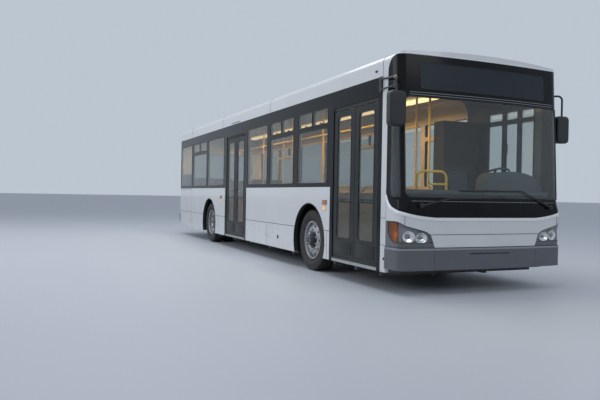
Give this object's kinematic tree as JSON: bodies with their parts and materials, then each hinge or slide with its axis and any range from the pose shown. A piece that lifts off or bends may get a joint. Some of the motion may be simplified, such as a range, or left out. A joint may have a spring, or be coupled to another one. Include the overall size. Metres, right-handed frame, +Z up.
{
  "type": "city bus",
  "caption": "Low-floor single-deck city bus with two double-leaf inward-swinging doors, steered front wheels, twin rear wheels, hollow saloon and driver's cab.",
  "frame": {"origin": "on the ground under the middle of the bus's overall box", "axes": "+X forward, +Y to the driver's left, +Z up"},
  "size_m": [11.962, 3.028, 3.0242],
  "materials": {
    "white_paint": "glossy two-pack paint with light road film",
    "dark_gloss": "gloss black paint and ceramic frit",
    "clear_glass": "laminated clear glass",
    "tinted_glass": "grey tinted toughened glass",
    "sign_glass": "dark blank sign behind glass",
    "bumper_plastic": "grained moulded plastic",
    "lamp_lens": "clear moulded lens",
    "amber_lens": "moulded amber lens",
    "red_lens": "moulded red lens",
    "floor_vinyl": "speckled non-slip vinyl",
    "grey_panel": "grained moulded plastic",
    "bare_aluminium": "brushed extrusion",
    "frame_paint": "underbody coating",
    "engine_iron": "cast and painted",
    "dark_plastic": "grained moulded plastic",
    "seat_fabric": "woven plush",
    "yellow_rail": "powder coat",
    "lamp_diffuser": "opal diffuser",
    "wiper_rubber": "moulded rubber",
    "tyre": "moulded rubber",
    "wheel_steel": "silver painted pressed steel"
  },
  "bodies": {
    "body": {"amber_lamps": "amber_lens", "cab_partition": "dark_plastic", "ceiling_lamps": "lamp_diffuser", "chassis_frame": "frame_paint", "dashboard": "dark_plastic", "door_frames": "dark_gloss", "door_sills": "bare_aluminium", "engine_block": "engine_iron", "floor": "floor_vinyl", "front_axle": "frame_paint", "front_bumper": "bumper_plastic", "front_dome": "white_paint", "front_header": "dark_gloss", "front_panel": "white_paint", "grab_rails": "yellow_rail", "headlamps": "lamp_lens", "mirrors": "dark_plastic", "rear_axle": "frame_paint", "rear_bumper": "bumper_plastic", "rear_wall": "white_paint", "roof": "white_paint", "screen_surround": "dark_gloss", "seat_pads": "seat_fabric", "seat_shells": "grey_panel", "side_glass": "tinted_glass", "side_wall_left": "white_paint", "side_wall_right": "white_paint", "sign_screen": "sign_glass", "tail_lamps": "red_lens", "wheel_boxes": "grey_panel", "window_band_left": "dark_gloss", "window_band_right": "dark_gloss", "windscreen": "clear_glass", "wipers": "wiper_rubber"},
    "post_front_rear": {"door_post_front_rear": "bare_aluminium"},
    "leaf_front_rear": {"door_leaf_front_rear": "dark_gloss", "door_glass_front_rear": "tinted_glass"},
    "post_front_front": {"door_post_front_front": "bare_aluminium"},
    "leaf_front_front": {"door_leaf_front_front": "dark_gloss", "door_glass_front_front": "tinted_glass"},
    "post_middle_rear": {"door_post_middle_rear": "bare_aluminium"},
    "leaf_middle_rear": {"door_leaf_middle_rear": "dark_gloss", "door_glass_middle_rear": "tinted_glass"},
    "post_middle_front": {"door_post_middle_front": "bare_aluminium"},
    "leaf_middle_front": {"door_leaf_middle_front": "dark_gloss", "door_glass_middle_front": "tinted_glass"},
    "knuckle_right": {"knuckle_right": "frame_paint"},
    "wheel_front_right": {"wheel_front_right": "wheel_steel", "tyre_front_right": "tyre"},
    "wheels_rear_right": {"wheels_rear_right": "wheel_steel", "tyres_rear_right": "tyre"},
    "knuckle_left": {"knuckle_left": "frame_paint"},
    "wheel_front_left": {"wheel_front_left": "wheel_steel", "tyre_front_left": "tyre"},
    "wheels_rear_left": {"wheels_rear_left": "wheel_steel", "tyres_rear_left": "tyre"},
    "steering_wheel": {"steering_wheel": "dark_plastic"},
    "engine_lid": {"engine_lid": "white_paint"},
    "roof_hatch_front": {"roof_hatch_front": "white_paint"},
    "roof_hatch_rear": {"roof_hatch_rear": "white_paint"}
  },
  "joints": [
    {"name": "door_front_rear", "type": "hinge", "parent": "body", "child": "post_front_rear", "pos_m": [4.017, -1.187, 1.3], "axis": [0, 0, 1], "range_deg": [0, 88]},
    {"name": "door_front_rear_leaf", "type": "hinge", "parent": "post_front_rear", "child": "leaf_front_rear", "pos_m": [4.3685, -1.187, 1.3], "axis": [0, 0, 1], "range_deg": [-178, 0]},
    {"name": "door_front_front", "type": "hinge", "parent": "body", "child": "post_front_front", "pos_m": [5.343, -1.187, 1.3], "axis": [0, 0, -1], "range_deg": [0, 88]},
    {"name": "door_front_front_leaf", "type": "hinge", "parent": "post_front_front", "child": "leaf_front_front", "pos_m": [4.9915, -1.187, 1.3], "axis": [0, 0, -1], "range_deg": [-178, 0]},
    {"name": "door_middle_rear", "type": "hinge", "parent": "body", "child": "post_middle_rear", "pos_m": [-1.313, -1.187, 1.3], "axis": [0, 0, 1], "range_deg": [0, 88]},
    {"name": "door_middle_rear_leaf", "type": "hinge", "parent": "post_middle_rear", "child": "leaf_middle_rear", "pos_m": [-0.9465, -1.187, 1.3], "axis": [0, 0, 1], "range_deg": [-178, 0]},
    {"name": "door_middle_front", "type": "hinge", "parent": "body", "child": "post_middle_front", "pos_m": [0.073, -1.187, 1.3], "axis": [0, 0, -1], "range_deg": [0, 88]},
    {"name": "door_middle_front_leaf", "type": "hinge", "parent": "post_middle_front", "child": "leaf_middle_front", "pos_m": [-0.2935, -1.187, 1.3], "axis": [0, 0, -1], "range_deg": [-178, 0]},
    {"name": "steer_right", "type": "hinge", "parent": "body", "child": "knuckle_right", "pos_m": [3.22, -0.93, 0.48], "axis": [0, 0, 1], "range_deg": [-50, 50]},
    {"name": "spin_front_right", "type": "hinge", "parent": "knuckle_right", "child": "wheel_front_right", "pos_m": [3.22, -1.09, 0.48], "axis": [0, 1, 0], "continuous": true},
    {"name": "spin_rear_right", "type": "hinge", "parent": "body", "child": "wheels_rear_right", "pos_m": [-2.7, -1.09, 0.48], "axis": [0, 1, 0], "continuous": true},
    {"name": "steer_left", "type": "hinge", "parent": "body", "child": "knuckle_left", "pos_m": [3.22, 0.93, 0.48], "axis": [0, 0, 1], "range_deg": [-50, 50]},
    {"name": "spin_front_left", "type": "hinge", "parent": "knuckle_left", "child": "wheel_front_left", "pos_m": [3.22, 1.09, 0.48], "axis": [0, 1, 0], "continuous": true},
    {"name": "spin_rear_left", "type": "hinge", "parent": "body", "child": "wheels_rear_left", "pos_m": [-2.7, 1.09, 0.48], "axis": [0, 1, 0], "continuous": true},
    {"name": "steering_wheel_turn", "type": "hinge", "parent": "body", "child": "steering_wheel", "pos_m": [5.139, 0.716, 1.497], "axis": [-0.4695, 0, 0.8829], "range_deg": [-900, 900]},
    {"name": "engine_lid_lift", "type": "hinge", "parent": "body", "child": "engine_lid", "pos_m": [-5.96, 0, 1.282], "axis": [0, 1, 0], "range_deg": [0, 80]},
    {"name": "roof_hatch_front_lift", "type": "hinge", "parent": "body", "child": "roof_hatch_front", "pos_m": [1.941, 0, 3.002], "axis": [0, -1, 0], "range_deg": [0, 25]},
    {"name": "roof_hatch_rear_lift", "type": "hinge", "parent": "body", "child": "roof_hatch_rear", "pos_m": [-2.859, 0, 3.002], "axis": [0, -1, 0], "range_deg": [0, 25]}
  ],
  "couplings": [
    {"joint": "door_front_rear_leaf", "follows": "door_front_rear", "ratio": -2},
    {"joint": "door_front_front_leaf", "follows": "door_front_front", "ratio": -2},
    {"joint": "door_middle_rear_leaf", "follows": "door_middle_rear", "ratio": -2},
    {"joint": "door_middle_front_leaf", "follows": "door_middle_front", "ratio": -2},
    {"joint": "steer_left", "follows": "steer_right", "ratio": 1},
    {"joint": "steering_wheel_turn", "follows": "steer_right", "ratio": 18}
  ]
}
